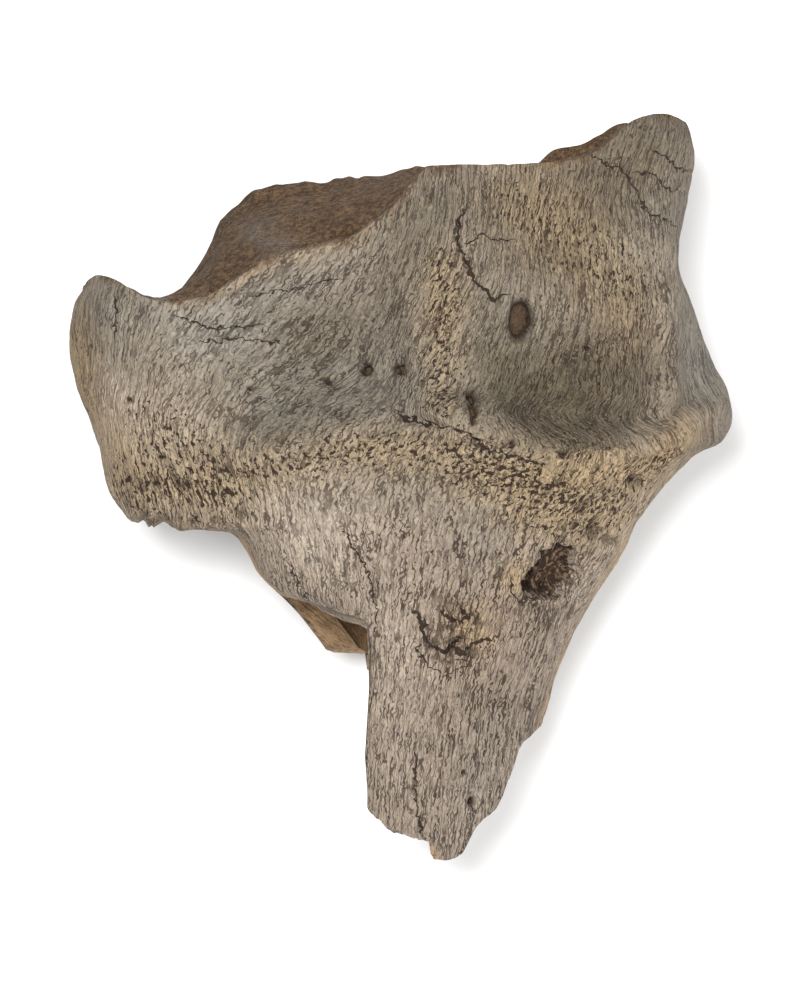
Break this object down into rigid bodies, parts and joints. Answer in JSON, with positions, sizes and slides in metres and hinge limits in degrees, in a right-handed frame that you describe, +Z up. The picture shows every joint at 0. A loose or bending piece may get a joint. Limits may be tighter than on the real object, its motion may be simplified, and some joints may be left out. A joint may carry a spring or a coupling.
{
  "type": "cow bone fragment",
  "caption": "End of a weathered cow leg bone, broken across the shaft, lying with its hollowed rear face up.",
  "frame": {"origin": "centre of the footprint's bounding box, on the ground the bone rests on", "axes": "+Y along the bone from the broken shaft to the joint end, +X across the wide end towards the pointed corner, +Z up from the ground"},
  "size_m": [0.1066, 0.1192, 0.0573],
  "materials": {
    "weathered_bone": "dry weathered grey bone, porous and cracked, with a brown worn joint face"
  },
  "bodies": {
    "root": {"bone": "weathered_bone"}
  },
  "joints": []
}
